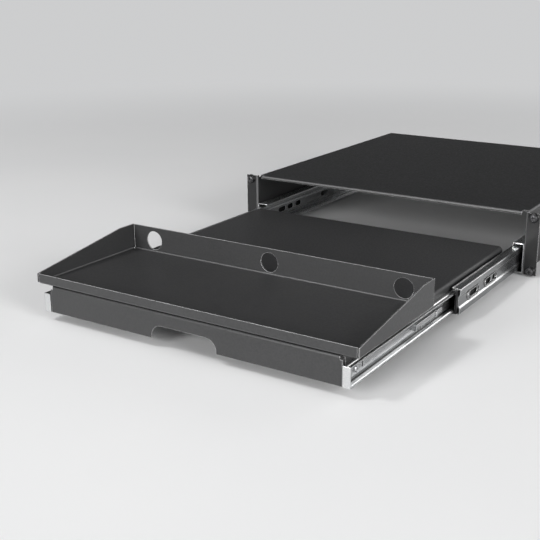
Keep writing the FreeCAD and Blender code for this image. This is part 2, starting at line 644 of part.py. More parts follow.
def keyboard_tray():
    """Folded tray: floor, front lip, rising sides and a back wall with cable holes, open at the corners."""
    half = TRAY_SHEET / 2
    floor = SHELF_TOP + half
    bend_zone = TRAY_SHEET + TRAY_BEND
    side_x = TRAY_HALF_WIDTH - half
    lip_top = SHELF_TOP + TRAY_LIP
    wall_top = SHELF_TOP + TRAY_WALL
    trough_line = ((-side_x, wall_top), (-side_x, floor), (side_x, floor), (side_x, wall_top))
    trough = folded_face(trough_line, TRAY_SHEET, TRAY_BEND, lambda x, z: Vector(x, LIP_Y + bend_zone, z))
    trough = trough.extrude(Y_AXIS * (TRAY_DEPTH - 2 * bend_zone))
    reach = TRAY_HALF_WIDTH - bend_zone
    gutter_line = ((LIP_Y + half, lip_top), (LIP_Y + half, floor),
                   (TRAY_BACK_Y - half, floor), (TRAY_BACK_Y - half, wall_top))
    gutter = folded_face(gutter_line, TRAY_SHEET, TRAY_BEND, lambda y, z: Vector(-reach, y, z))
    gutter = gutter.extrude(X_AXIS * (2 * reach))
    # Above the bends the lip and the sides reach on to the corner seams
    seam_z = SHELF_TOP + bend_zone + TRAY_SEAM
    lip_reach = TRAY_HALF_WIDTH - TRAY_SHEET - TRAY_SEAM
    lip = Part.makeBox(2 * lip_reach, TRAY_SHEET, lip_top - seam_z, Vector(-lip_reach, LIP_Y, seam_z))
    rise = wall_top - seam_z
    wall_y = TRAY_BACK_Y - TRAY_SHEET
    back = Part.makeBox(2 * lip_reach, TRAY_SHEET, rise, Vector(-lip_reach, wall_y, seam_z))
    wing = Part.makeBox(TRAY_SHEET, TRAY_DEPTH, rise, Vector(TRAY_HALF_WIDTH - TRAY_SHEET, LIP_Y, seam_z))
    # At the corners the sides reach down almost to the floor
    toe_x = TRAY_HALF_WIDTH - TRAY_SHEET
    toe_z = SHELF_TOP + TRAY_SEAM
    toes = [Part.makeBox(TRAY_SHEET, bend_zone, seam_z - toe_z, Vector(toe_x, y, toe_z))
            for y in (LIP_Y, TRAY_BACK_Y - bend_zone)]
    sides = [wing] + toes
    body = joined([trough, gutter, lip, back] + sides + [mirrored(side) for side in sides])
    slope_end = TRAY_BACK_Y - TRAY_FLAT_TOP
    ahead = LIP_Y - TRAY_SHEET
    above = wall_top + TRAY_SHEET
    slope = ((ahead, lip_top), (LIP_Y + TRAY_SHEET, lip_top), (slope_end, wall_top),
             (slope_end, above), (ahead, above))
    cuts = [prism([Vector(-WALL_X, y, z) for y, z in slope], X_AXIS * (2 * WALL_X))]
    hole_x = TRAY_HALF_WIDTH - CABLE_HOLE_INSET
    for x in (-hole_x, 0, hole_x):
        start = Vector(x, TRAY_BACK_Y - 2 * TRAY_SHEET, SHELF_TOP + CABLE_HOLE_HEIGHT)
        cuts.append(rod(CABLE_HOLE_D, start, Y_AXIS, 3 * TRAY_SHEET))
    return body.cut(cuts)


def inner_slide_screws():
    """Screws through the inner members' webs, tapped into the shelf's side flanges."""
    length = MEMBER_SHEET + SHELF_SHEET + SCREW_PAST_FLANGE
    seat = SLIDE_THICKNESS - MEMBER_SHEET
    right = [headed_pin(SCREW_D, SCREW_HEAD_D, SCREW_HEAD_HEIGHT, length,
                        slide_point(seat, LIP_Y + place, 0), -X_AXIS) for place in INNER_SCREW_PLACES]
    return right + [mirrored(screw) for screw in right]


def lever_depths():
    """Depths between which the release lever lies, in the hollow of the inner member."""
    inside = INNER_TIP + PIN_HEAD_HEIGHT + LEVER_GAP
    return inside, SLIDE_THICKNESS - MEMBER_SHEET - LEVER_GAP


def release_lever():
    """Release lever: a hub on its pin, a tapered arm with finger ribs forwards and a catch backwards."""
    near, far = lever_depths()
    pivot_y = LIP_Y + LEVER_PIVOT_PLACE
    sweep = X_AXIS * (near - far)

    def at(y, z):
        return slide_point(near, pivot_y + y, LEVER_PIVOT_RISE + z)

    arm = prism([at(0, LEVER_ARM_TOP), at(-LEVER_ARM, LEVER_ARM_TOP),
                 at(-LEVER_ARM, -LEVER_TIP_UNDER), at(0, -LEVER_ARM_UNDER)], sweep)
    ribs = [prism([at(-place, 0), at(-place - LEVER_RIB_LENGTH, 0),
                   at(-place - LEVER_RIB_LENGTH, -LEVER_RIB_DROP), at(-place, -LEVER_RIB_DROP)], sweep)
            for place in LEVER_RIB_PLACES]
    hook = prism([at(0, LEVER_HOOK_RISE), at(LEVER_HOOK, LEVER_HOOK_RISE), at(LEVER_HOOK, -LEVER_HUB_R),
                  at(LEVER_HOOK - LEVER_CATCH, -LEVER_CATCH_RELIEF), at(0, -LEVER_HOOK_RISE)], sweep)
    hub = rod(2 * LEVER_HUB_R, at(0, 0), -X_AXIS, far - near)
    bore = rod(PIN_D + 2 * PIN_PLAY, at(0, 0) + X_AXIS * LEVER_GAP, -X_AXIS, far - near + 2 * LEVER_GAP)
    return joined([arm, hook, hub] + ribs).cut(bore)


def lever_pins():
    """Pivot pins of the release levers, riveted in the inner members' webs."""
    seat = slide_point(INNER_TIP + PIN_HEAD_HEIGHT, LIP_Y + LEVER_PIVOT_PLACE, LEVER_PIVOT_RISE)
    length = SLIDE_THICKNESS - INNER_TIP - PIN_HEAD_HEIGHT
    pin = headed_pin(PIN_D, PIN_HEAD_D, PIN_HEAD_HEIGHT, length, seat, -X_AXIS)
    return [pin, mirrored(pin)]


def write(name, shape):
    """Writes one node: a single piece, or a group of like pieces."""
    if isinstance(shape, list):
        shape = Part.makeCompound(shape)
    shape.exportStep(os.path.join("parts", name + ".step"))


def write_pair(name, shape):
    """Writes a piece, or a group, for the right side and its mirror image for the left."""
    write(name + "_right", shape)
    if isinstance(shape, list):
        write(name + "_left", [mirrored(piece) for piece in shape])
    else:
        write(name + "_left", mirrored(shape))


def main():
    os.makedirs("parts", exist_ok=True)
    write("housing", housing())
    write("slide_rivets", slide_rivets())
    write("rack_screws", rack_screws())
    write("cup_washers", cup_washers())
    write("shelf", shelf())
    write("keyboard_tray", keyboard_tray())
    write("inner_slide_screws", inner_slide_screws())
    write("lever_pins", lever_pins())
    write_pair("outer_slide", outer_slide())
    write_pair("middle_slide", middle_slide())
    write_pair("inner_slide", inner_slide())
    write_pair("front_bumper", front_bumper())
    write_pair("rear_stop", rear_stop())
    write_pair("release_lever", release_lever())
    for name, (cage_body, balls) in (("outer", outer_cage()), ("inner", inner_cage())):
        write_pair(name + "_ball_cage", cage_body)
        write_pair(name + "_balls", balls)


main()
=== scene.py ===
import json
import math

import bmesh
import bpy
from mathutils import Matrix, Vector


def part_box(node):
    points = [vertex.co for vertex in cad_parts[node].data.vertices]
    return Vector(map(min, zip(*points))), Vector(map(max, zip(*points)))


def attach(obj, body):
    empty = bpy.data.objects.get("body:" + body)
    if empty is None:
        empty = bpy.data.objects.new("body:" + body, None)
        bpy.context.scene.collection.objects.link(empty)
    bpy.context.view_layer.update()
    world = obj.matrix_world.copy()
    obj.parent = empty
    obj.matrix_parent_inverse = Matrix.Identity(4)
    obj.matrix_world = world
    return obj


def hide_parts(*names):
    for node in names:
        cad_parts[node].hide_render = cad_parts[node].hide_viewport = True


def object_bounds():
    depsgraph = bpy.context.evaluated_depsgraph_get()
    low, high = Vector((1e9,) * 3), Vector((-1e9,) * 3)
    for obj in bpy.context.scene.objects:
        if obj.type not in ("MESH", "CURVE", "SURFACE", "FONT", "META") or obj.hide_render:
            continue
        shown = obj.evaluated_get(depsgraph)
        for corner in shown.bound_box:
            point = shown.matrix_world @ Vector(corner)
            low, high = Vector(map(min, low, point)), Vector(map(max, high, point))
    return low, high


# Looks of a pull-out drawer with a folded tray on ball-bearing slides. Metres, in the frame of the
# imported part: X across it, Y towards its rear, Z up.

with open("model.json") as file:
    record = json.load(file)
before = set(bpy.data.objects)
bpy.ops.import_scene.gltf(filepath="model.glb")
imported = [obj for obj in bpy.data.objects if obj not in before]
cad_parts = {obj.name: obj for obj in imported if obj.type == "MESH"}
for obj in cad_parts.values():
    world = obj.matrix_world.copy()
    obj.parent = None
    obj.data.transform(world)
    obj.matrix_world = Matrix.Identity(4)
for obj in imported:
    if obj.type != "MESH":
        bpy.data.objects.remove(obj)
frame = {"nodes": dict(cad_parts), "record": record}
nodes = frame["nodes"]
cad_low, cad_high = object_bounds()

SIDES = ("left", "right")
MM = 0.001

# Camera at the photograph's angle: angles in degrees, lens and sensor in millimetres
CAMERA_PLACE = (0.615, -1.214, 0.365)
CAMERA_TURN = 31.77
CAMERA_PITCH = 18.04
CAMERA_LENS = 62.6
CAMERA_SENSOR = 36.0
CAMERA_SHIFT_X = -0.061

# Floor, backdrop and soft light
FLOOR_SIZE = 40.0
FLOOR_GAP = 0.0005
FLOOR_TONES = ((0.88, 0.882, 0.885), (0.90, 0.90, 0.90))
FLOOR_ROUGHNESS = 0.9
FLOOR_GLOSS = 0.1
# Distances from the object between which the floor turns into the backdrop
FLOOR_FADE = (0.5, 2.2)
BACKDROP_COLOUR = (0.61, 0.614, 0.62, 1)
SKY_COLOUR = (0.045, 0.046, 0.048, 1)
# Upward parts of a view's direction between which the backdrop turns into the sky
SKY_FADE = (0.02, 0.20)
# Name, place, aim, width, power in watts
LIGHTS = (
    ("ceiling_light", (-0.6, -1.2, 4.2), (-0.6, -1.2, 0.0), 5.0, 50),
    ("key_light", (-0.7, -4.0, 1.15), (0.0, -0.4, 0.0), 1.8, 127),
    ("edge_light", (-1.4, -1.7, 2.9), (0.0, -0.2, 0.0), 0.5, 26),
    ("side_light", (3.8, -1.3, 1.1), (0.1, -0.3, 0.0), 1.8, 116),
    ("slide_light", (1.10, 1.50, 0.80), (0.2, -0.35, 0.0), 0.8, 5),
)

# Meshes of the turned pieces
TURN_STEPS = 48
BALL_STEPS = 24
SMOOTH_ANGLE = 35.0
SAME_PLACE_DIGITS = 6

# Pan heads: rings over the crown and its curve, then shares of the head's height and radius
HEAD_RINGS = 14
HEAD_CROWN_POWER = 3.2
HEAD_EDGE = 0.42
HEAD_FOOT = 0.3
HEAD_SEAT = 0.97
# Cross recesses: width of their walls in millimetres, and how much the arms narrow and rise outwards
RECESS_WALL = 0.22
RECESS_TAPER = 0.3
RECESS_RISE = 0.5
# Threads: rings in a pitch, and depth as a share of it
THREAD_STEPS_PER_PITCH = 5
THREAD_DEPTH = 0.55

# Screws, in millimetres. A recess is its reach, width and depth, a thread its radius and pitch,
# a tip its radius and length.
RACK_SCREW_NECK = 2.6
RACK_SCREW_RUNOUT = 0.2
RACK_SCREW_RECESS = (3.1, 1.7, 2.0)
RACK_SCREW_THREAD = (3.0, 1.0)
RACK_SCREW_TIP = (1.9, 0.8)
SLIDE_SCREW_HEAD = 2.4
SLIDE_SCREW_NECK = 1.6
SLIDE_SCREW_RUNOUT = 0.1
SLIDE_SCREW_RECESS = (2.3, 1.3, 1.4)
SLIDE_SCREW_THREAD = (2.0, 0.7)
SLIDE_SCREW_TIP = (1.2, 0.5)

# Turned profiles, as radius and height in millimetres
WASHER_PROFILE = (
    (3.25, 0.0), (7.0, 0.0), (7.17, 0.15), (7.17, 0.5), (7.05, 0.75), (6.7, 0.95), (6.3, 1.3), (6.02, 1.75),
    (5.9, 2.15), (5.78, 2.45), (5.55, 2.6), (5.2, 2.6), (4.7, 2.4), (3.9, 1.6), (3.25, 1.0),
)
RIVET_PROFILE = (
    (0, 1.1), (1.3, 1.08), (2.5, 0.92), (3.4, 0.6), (3.9, 0.2), (4.0, 0.0), (2.4, 0.0),
    (2.4, -2.55), (2.25, -2.7), (1.6, -2.7), (1.35, -2.3), (0, -2.2),
)
PIN_HEAD = 0.9
PIN_HEAD_PROFILE = ((0, PIN_HEAD), (1.4, 0.86), (2.6, 0.68), (3.3, 0.34), (3.5, 0.1), (3.45, 0.0))
PIN_RADIUS = 2.0
PIN_TIP = (1.8, 0.2)

# Powder coat: dark and light clouds, specks and dust, then painted highlights on folds and edges, and
# painted shade in seams and crevices
COAT_TONES = (
    (0.030, 0.0303, 0.031),
    (0.037, 0.0373, 0.038),
    (0.055, 0.055, 0.056),
    (0.052, 0.0515, 0.050),
)
COAT_FOLD_HIGHLIGHT = (0.12, 0.12, 0.122)
COAT_EDGE_HIGHLIGHT = (0.74, 0.74, 0.745)
COAT_CREVICE_SHADE = (0.002, 0.002, 0.0021)
COAT_GLOSS = 0.38
# For each coated piece, how light its coat is (the housing's is darkened as painted shade) and how strong
# the painted highlight on its folds is
COATS = {"housing": (0.36, 1.0), "shelf": (0.95, 0.1), "keyboard_tray": (1.0, 1.0)}

# Zinc of the slides: bright bends, webs darkened as painted shade, streaks, painted highlight on edges,
# grease and painted shade in the tracks
ZINC_TONES = ((0.80, 0.81, 0.82), (0.88, 0.885, 0.88))
WEB_SHADE_TONES = ((0.46, 0.465, 0.475), (0.58, 0.585, 0.59))
ZINC_STREAK = (0.40, 0.41, 0.42)
ZINC_EDGE_HIGHLIGHT = (0.92, 0.92, 0.925)
ZINC_GREASE_AND_SHADE = (0.07, 0.069, 0.066)
# How light the middle members' webs are beside the others', made darker as painted shade
MIDDLE_WEB_SHADE = 0.55

# Smaller pieces: two tones that drift into each other, then edges, and painted shade in recesses
# The cages' near-black tones are their dark phosphate, darkened further as painted shade so the insides of
# the slides read dark.
CAGE_TONES = ((0.004, 0.004, 0.0038), (0.010, 0.0098, 0.0095))
CAGE_EDGE = (0.10, 0.10, 0.098)
CAGE_GLOSS = 0.15
BALL_TONES = ((0.70, 0.70, 0.71), (0.82, 0.82, 0.83))
PLASTIC_TONES = ((0.010, 0.010, 0.0105), (0.018, 0.018, 0.0185))
PLASTIC_EDGE = (0.045, 0.045, 0.047)
CUP_TONES = ((0.006, 0.006, 0.0065), (0.013, 0.013, 0.014))
CUP_EDGE = (0.07, 0.07, 0.073)
CUP_METAL = 0.35
OXIDE_TONES = ((0.050, 0.050, 0.052), (0.085, 0.085, 0.088))
OXIDE_EDGE = (0.30, 0.30, 0.31)
OXIDE_RECESS_SHADE = (0.006, 0.006, 0.006)
OXIDE_METAL = 0.6
FASTENER_TONES = ((0.54, 0.55, 0.57), (0.70, 0.70, 0.70))
FASTENER_EDGE = (0.80, 0.80, 0.81)
FASTENER_RECESS_SHADE = (0.09, 0.088, 0.083)

# Samples of the nodes that look round a point
ROUND_SAMPLES = 8
# How far a rounded normal agrees with the flat one, on an edge and on an open face
EDGE_MATCH = (0.86, 0.995)
# Colour sockets of the Mix node
MIX_FIRST = 6
MIX_SECOND = 7
MIX_RESULT = 2


class Shader:
    """One procedural material, built node by node on a principled surface."""

    def __init__(self, name, metallic=0.0, specular=0.5):
        self.material = bpy.data.materials.new(name)
        self.material.use_nodes = True
        self.tree = self.material.node_tree
        self.surface = self.tree.nodes["Principled BSDF"]
        self.surface.inputs["Metallic"].default_value = metallic
        self.surface.inputs["Specular IOR Level"].default_value = specular
        self.place = self.tree.nodes.new("ShaderNodeTexCoord").outputs["Object"]

    def link(self, source, target):
        self.tree.links.new(source, target)

    def noise(self, scale, detail, stretch=(1, 1, 1)):
        """Noise in the part's frame; scale is in waves per metre, stretch multiplies it along each axis."""
        mapping = self.tree.nodes.new("ShaderNodeMapping")
        mapping.inputs["Scale"].default_value = stretch
        self.link(self.place, mapping.inputs["Vector"])
        noise = self.tree.nodes.new("ShaderNodeTexNoise")
        noise.inputs["Scale"].default_value = scale
        noise.inputs["Detail"].default_value = detail
        self.link(mapping.outputs["Vector"], noise.inputs["Vector"])
        return noise.outputs["Fac"]

    def spread(self, value, low, high, start=0.3, end=0.7):
        """Stretches a value between start and end over the range low to high."""
        ramp = self.tree.nodes.new("ShaderNodeMapRange")
        ramp.inputs["From Min"].default_value = start
        ramp.inputs["From Max"].default_value = end
        ramp.inputs["To Min"].default_value = low
        ramp.inputs["To Max"].default_value = high
        self.link(value, ramp.inputs["Value"])
        return ramp.outputs["Result"]

    def combine(self, operation, first, second):
        node = self.tree.nodes.new("ShaderNodeMath")
        node.operation = operation
        self.link(first, node.inputs[0])
        self.link(second, node.inputs[1])
        return node.outputs["Value"]

    def times(self, first, second):
        return self.combine("MULTIPLY", first, second)

    def larger(self, first, second):
        return self.combine("MAXIMUM", first, second)

    def mix(self, amount, first, second):
        """Blends two colours, each a socket or an RGB triple."""
        node = self.tree.nodes.new("ShaderNodeMix")
        node.data_type = "RGBA"
        self.link(amount, node.inputs["Factor"])
        for value, socket in ((first, node.inputs[MIX_FIRST]), (second, node.inputs[MIX_SECOND])):
            if isinstance(value, tuple):
                socket.default_value = (*value, 1)
            else:
                self.link(value, socket)
        return node.outputs[MIX_RESULT]

    def clouds(self, noise, tones):
        """Two tones that drift into each other with a noise."""
        return self.mix(self.spread(noise, 0.0, 1.0), *tones)

    def edges(self, radius):
        """Rounds the shading over sharp edges, and gives a mask that is 1 on them."""
        bevel = self.tree.nodes.new("ShaderNodeBevel")
        bevel.samples = ROUND_SAMPLES
        bevel.inputs["Radius"].default_value = radius
        flat = self.tree.nodes.new("ShaderNodeNewGeometry").outputs["True Normal"]
        match = self.tree.nodes.new("ShaderNodeVectorMath")
        match.operation = "DOT_PRODUCT"
        self.link(bevel.outputs["Normal"], match.inputs[0])
        self.link(flat, match.inputs[1])
        mask = self.spread(match.outputs["Value"], 1.0, 0.0, *EDGE_MATCH)
        return bevel.outputs["Normal"], mask

    def hollows(self, distance, closed, opened, own=True):
        """1 in grooves and inside corners, 0 on open faces. Neighbours count too where own is false."""
        node = self.tree.nodes.new("ShaderNodeAmbientOcclusion")
        node.samples = ROUND_SAMPLES
        node.only_local = own
        node.inputs["Distance"].default_value = distance
        return self.spread(node.outputs["AO"], 1.0, 0.0, closed, opened)

    def bump(self, height, strength, distance, normal):
        node = self.tree.nodes.new("ShaderNodeBump")
        node.inputs["Strength"].default_value = strength
        node.inputs["Distance"].default_value = distance
        self.link(height, node.inputs["Height"])
        self.link(normal, node.inputs["Normal"])
        return node.outputs["Normal"]

    def looking(self, axis, start, end):
        """1 on faces that look along an axis, 0 on faces turned away from it."""
        normal = self.tree.nodes.new("ShaderNodeNewGeometry").outputs["True Normal"]
        parts = self.tree.nodes.new("ShaderNodeSeparateXYZ")
        self.link(normal, parts.inputs["Vector"])
        return self.spread(parts.outputs[axis], 0.0, 1.0, start, end)

    def square(self, axis, start, end):
        """1 on faces that look along an axis either way."""
        return self.larger(self.looking(axis, start, end), self.looking(axis, -start, -end))

    def bends(self, start, end):
        """1 on folds and slants, 0 on faces square to an axis."""
        flat = self.larger(self.square("X", start, end), self.square("Y", start, end))
        flat = self.larger(flat, self.square("Z", start, end))
        return self.spread(flat, 1.0, 0.0, 0.0, 1.0)

    def finish(self, colour, roughness=None, normal=None):
        for value, name in ((colour, "Base Color"), (roughness, "Roughness"), (normal, "Normal")):
            if value is not None:
                self.link(value, self.surface.inputs[name])
        return self.material


def dimmed(tones, factor):
    return [tuple(factor * part for part in tone) for tone in tones]


def powder_coat(name, depth, folds):
    """Black powder coat: fine grain, orange peel, a breath of dust, painted highlights on folds and edges,
    painted shade in crevices.
    """
    coat = Shader(name, specular=COAT_GLOSS)
    rounded, edge = coat.edges(radius=0.0007)
    grain = coat.noise(scale=1600, detail=2.0)
    peel = coat.noise(scale=420, detail=1.0)
    cloud = coat.noise(scale=7, detail=4.0)
    drift = coat.noise(scale=26, detail=6.0)
    edge_patchiness = coat.noise(scale=60, detail=3.0)
    dark, light, speck, film = dimmed(COAT_TONES, depth)
    colour = coat.clouds(cloud, (dark, light))
    colour = coat.mix(coat.spread(peel, 0.0, 0.55), colour, speck)
    colour = coat.mix(coat.spread(grain, 0.0, 0.5), colour, speck)
    dust = coat.times(coat.looking("Z", 0.6, 0.98), coat.spread(drift, 0.0, 0.3, 0.45, 0.75))
    colour = coat.mix(dust, colour, film)
    # Painted highlight: folds and slants that don't face down are lightened, as if light caught on the
    # bends.
    fold_highlight_mask = coat.times(coat.bends(0.95, 0.99), coat.looking("Z", -0.5, -0.2))
    colour = coat.mix(coat.spread(fold_highlight_mask, 0.0, folds, 0.0, 1.0), colour, COAT_FOLD_HIGHLIGHT)
    # Painted highlight on the sheet edges, patchy along them.
    wear_and_highlight = coat.times(edge, coat.spread(edge_patchiness, 0.7, 1.0))
    colour = coat.mix(wear_and_highlight, colour, COAT_EDGE_HIGHLIGHT)
    # Painted shade: seams, grooves and corners between neighbouring parts are darkened, and made rougher.
    crevice_shade = coat.hollows(distance=0.006, closed=0.40, opened=0.74, own=False)
    colour = coat.mix(crevice_shade, colour, COAT_CREVICE_SHADE)
    roughness = coat.larger(coat.spread(peel, 0.33, 0.45), coat.spread(crevice_shade, 0.0, 0.9, 0.0, 1.0))
    normal = coat.bump(peel, strength=0.16, distance=0.0004, normal=rounded)
    normal = coat.bump(grain, strength=0.30, distance=0.00012, normal=normal)
    return coat.finish(colour, roughness, normal)


def zinc_plate(name, web_shade):
    """Zinc on rolled steel: bright bends, webs darkened as painted shade, streaks along the slide, painted
    highlight on the edges, grease and painted shade in the tracks.
    """
    zinc = Shader(name, metallic=1.0)
    rounded, edge = zinc.edges(radius=0.0007)
    streak = zinc.noise(scale=90, detail=3.0, stretch=(9, 0.10, 9))
    cloud = zinc.noise(scale=34, detail=4.0)
    crystals = zinc.noise(scale=2600, detail=2.0)
    # Painted shade: the faces looking sideways, the webs, are darker than the bends and flanges.
    web = zinc.square("X", 0.9, 0.97)
    bright = zinc.clouds(cloud, ZINC_TONES)
    shaded_web = zinc.clouds(cloud, dimmed(WEB_SHADE_TONES, web_shade))
    colour = zinc.mix(web, bright, shaded_web)
    colour = zinc.mix(zinc.spread(streak, 0.0, 0.3), colour, ZINC_STREAK)
    # Painted highlight on the edges.
    colour = zinc.mix(edge, colour, ZINC_EDGE_HIGHLIGHT)
    # Grease and painted shade: the ball tracks and inside corners are darkened.
    track_grease_and_shade = zinc.hollows(distance=0.0025, closed=0.55, opened=0.92)
    colour = zinc.mix(track_grease_and_shade, colour, ZINC_GREASE_AND_SHADE)
    roughness = zinc.spread(crystals, 0.20, 0.42, 0.40, 0.70)
    normal = zinc.bump(streak, strength=0.06, distance=0.0003, normal=rounded)
    return zinc.finish(colour, roughness, normal)


def rolled_steel():
    """Dark phosphated strip of the ball cages, darkened further as painted shade, with an oily film and
    bare edges.
    """
    steel = Shader("rolled_steel", specular=CAGE_GLOSS)
    rounded, edge = steel.edges(radius=0.0003)
    film = steel.noise(scale=60, detail=4.0)
    colour = steel.mix(edge, steel.clouds(film, CAGE_TONES), CAGE_EDGE)
    return steel.finish(colour, steel.spread(film, 0.42, 0.6), rounded)


def ball_steel():
    """Polished bearing balls with a trace of grease."""
    ball = Shader("bearing_steel", metallic=1.0)
    grease = ball.noise(scale=900, detail=3.0)
    return ball.finish(ball.clouds(grease, BALL_TONES), ball.spread(grease, 0.08, 0.2))


def black_plastic():
    """Moulded black plastic with a spark-eroded skin."""
    plastic = Shader("plastic_black")
    rounded, edge = plastic.edges(radius=0.0005)
    skin = plastic.noise(scale=1300, detail=2.0)
    cloud = plastic.noise(scale=50, detail=3.0)
    colour = plastic.mix(edge, plastic.clouds(cloud, PLASTIC_TONES), PLASTIC_EDGE)
    normal = plastic.bump(skin, strength=0.15, distance=0.0001, normal=rounded)
    return plastic.finish(colour, plastic.spread(skin, 0.36, 0.52), normal)


def gloss_black():
    """Glossy black nickel of the cup washers, with fine turning marks and rubbed rims."""
    gloss = Shader("gloss_black", metallic=CUP_METAL)
    rounded, edge = gloss.edges(radius=0.0003)
    marks = gloss.noise(scale=1500, detail=2.0, stretch=(1, 0.2, 1))
    colour = gloss.mix(edge, gloss.clouds(marks, CUP_TONES), CUP_EDGE)
    return gloss.finish(colour, gloss.spread(marks, 0.2, 0.32), rounded)


def black_oxide():
    """Black oxide on screw steel, so slight that metal shows at the edges, with painted shade in the cross
    recess.
    """
    oxide = Shader("oxide_black", metallic=OXIDE_METAL)
    rounded, edge = oxide.edges(radius=0.00035)
    film = oxide.noise(scale=700, detail=3.0)
    wear_and_highlight = oxide.times(edge, oxide.spread(film, 0.4, 0.9))
    colour = oxide.mix(wear_and_highlight, oxide.clouds(film, OXIDE_TONES), OXIDE_EDGE)
    # Painted shade in the cross recess.
    recess = oxide.hollows(distance=0.002, closed=0.3, opened=0.85)
    colour = oxide.mix(recess, colour, OXIDE_RECESS_SHADE)
    return oxide.finish(colour, oxide.spread(film, 0.26, 0.42), rounded)


def zinc_fastener():
    """Zinc on small turned fasteners, duller than the slides, with painted shade in the recesses."""
    zinc = Shader("zinc_fastener", metallic=1.0)
    rounded, edge = zinc.edges(radius=0.0003)
    cloud = zinc.noise(scale=400, detail=3.0)
    colour = zinc.mix(edge, zinc.clouds(cloud, FASTENER_TONES), FASTENER_EDGE)
    # Painted shade in the recesses.
    recess = zinc.hollows(distance=0.002, closed=0.2, opened=0.8)
    colour = zinc.mix(recess, colour, FASTENER_RECESS_SHADE)
    return zinc.finish(colour, zinc.spread(cloud, 0.24, 0.40), rounded)


def make_finishes():
    """A material for each slot of the record that isn't powder-coated, and one for the middle members."""
    return {
        "zinc_slide": zinc_plate("zinc_plate_bright", 1.0),
        "zinc_middle": zinc_plate("zinc_plate_middle", MIDDLE_WEB_SHADE),
        "cage_steel": rolled_steel(),
        "ball_steel": ball_steel(),
        "black_plastic": black_plastic(),
        "zinc_fastener": zinc_fastener(),
        "black_screw": black_oxide(),
        "black_cup": gloss_black(),
    }


def paint_nodes():
    """Gives each solid its coat, or the material of its slot in the record."""
    for part in frame["record"]["subparts"]:
        node = part["node"]
        mesh = nodes[node].data
        mesh.materials.clear()
        if node in COATS:
            mesh.materials.append(powder_coat("powder_coat_" + node, *COATS[node]))
        elif node.startswith("middle_slide"):
            mesh.materials.append(finishes["zinc_middle"])
        else:
            mesh.materials.append(finishes[part["material_slot"]])


def slot_of(node):
    return next(part["material_slot"] for part in frame["record"]["subparts"] if part["node"] == node)


def body_of(node):
    bodies = frame["record"]["behaviour"]["bodies"]
    return next(body for body, members in bodies.items() if node in members)


def solids(node):
    """Low and high corners of each separate solid of a node."""
    mesh = nodes[node].data
    places = [tuple(round(c, SAME_PLACE_DIGITS) for c in vertex.co) for vertex in mesh.vertices]
    parent = {place: place for place in places}

    def root(place):
        while parent[place] != place:
            place = parent[place]
        return place

    for face in mesh.polygons:
        first = root(places[face.vertices[0]])
        for index in face.vertices[1:]:
            parent[root(places[index])] = first
    groups = {}
    for place in parent:
        groups.setdefault(root(place), []).append(place)
    boxes = []
    for points in groups.values():
        axes = list(zip(*points))
        boxes.append((Vector([min(axis) for axis in axes]), Vector([max(axis) for axis in axes])))
    return boxes


def bridge(bm, rings):
    """Joins rings of vertices to a skin; a ring of one vertex closes it to a point."""
    for lower, upper in zip(rings, rings[1:]):
        steps = max(len(lower), len(upper))
        for k in range(steps):
            after = (k + 1) % steps
            corners = [lower[k % len(lower)], lower[after % len(lower)],
                       upper[after % len(upper)], upper[k % len(upper)]]
            bm.faces.new(list(dict.fromkeys(corners)))


def ring_at(bm, place, radius, height):
    """A ring of vertices round the local Z axis, or one vertex on it. Radius and height in millimetres."""
    if radius == 0:
        return [bm.verts.new(place @ Vector((0, 0, height * MM)))]
    turns = [2 * math.pi * k / TURN_STEPS for k in range(TURN_STEPS)]
    return [bm.verts.new(place @ (Vector((radius * math.cos(a), radius * math.sin(a), height)) * MM))
            for a in turns]


def turned(bm, place, profile, closed=False):
    """A turned body from (radius, height) points in millimetres."""
    rings = [ring_at(bm, place, radius, height) for radius, height in profile]
    if closed:
        rings.append(rings[0])
    bridge(bm, rings)


def cross_recess(x, y, reach, width, depth):
    """Depth of a cross recess below the crown at a point of a screw head."""
    along = max(abs(x), abs(y))
    half = width / 2 * (1 - RECESS_TAPER * along / reach)
    room = min(half - min(abs(x), abs(y)), reach - along)
    if room <= 0:
        return 0.0
    return depth * (1 - RECESS_RISE * along / reach) * min(1.0, room / RECESS_WALL)


def head_rings(bm, place, radius, height, recess):
    """A pan head's crown with a cross recess, from its middle out to the rim, and down to the seat."""
    edge = height * HEAD_EDGE
    rings = []
    for i in range(HEAD_RINGS + 1):
        part = math.sin(math.pi / 2 * i / HEAD_RINGS)
        crown = edge + (height - edge) * (1 - part ** HEAD_CROWN_POWER) ** 0.5
        ring = ring_at(bm, Matrix(), radius * part, crown)
        for vertex in ring:
            local = vertex.co / MM
            local.z -= cross_recess(local.x, local.y, *recess)
            vertex.co = place @ (local * MM)
        rings.append(ring)
    rings.append(ring_at(bm, place, radius, edge * HEAD_FOOT))
    rings.append(ring_at(bm, place, radius * HEAD_SEAT, 0))
    return rings


def thread_rings(bm, place, radius, pitch, top, bottom):
    """A threaded shank between two heights, its ridge a helix round the axis."""
    count = round((top - bottom) / pitch * THREAD_STEPS_PER_PITCH)
    rings = []
    for i in range(count + 1):
        height = top + (bottom - top) * i / count
        ends = min(1.0, min(i, count - i) / THREAD_STEPS_PER_PITCH)
        ring = ring_at(bm, Matrix(), radius, height)
        for k, vertex in enumerate(ring):
            turn = (height / pitch + k / TURN_STEPS) % 1.0
            inset = THREAD_DEPTH * pitch * abs(2 * turn - 1)
            inset = inset * ends + THREAD_DEPTH * pitch * (1 - ends)
            factor = (radius - inset) / radius
            vertex.co = place @ Vector((vertex.co.x * factor, vertex.co.y * factor, vertex.co.z))
        rings.append(ring)
    return rings


def shank_rings(bm, place, thread, tip, top, end):
    """A threaded shank from a height down to the end of its chamfered tip."""
    tip_radius, tip_length = tip
    rings = thread_rings(bm, place, *thread, top, end + tip_length)
    return rings + [ring_at(bm, place, tip_radius, end), ring_at(bm, place, 0, end)]


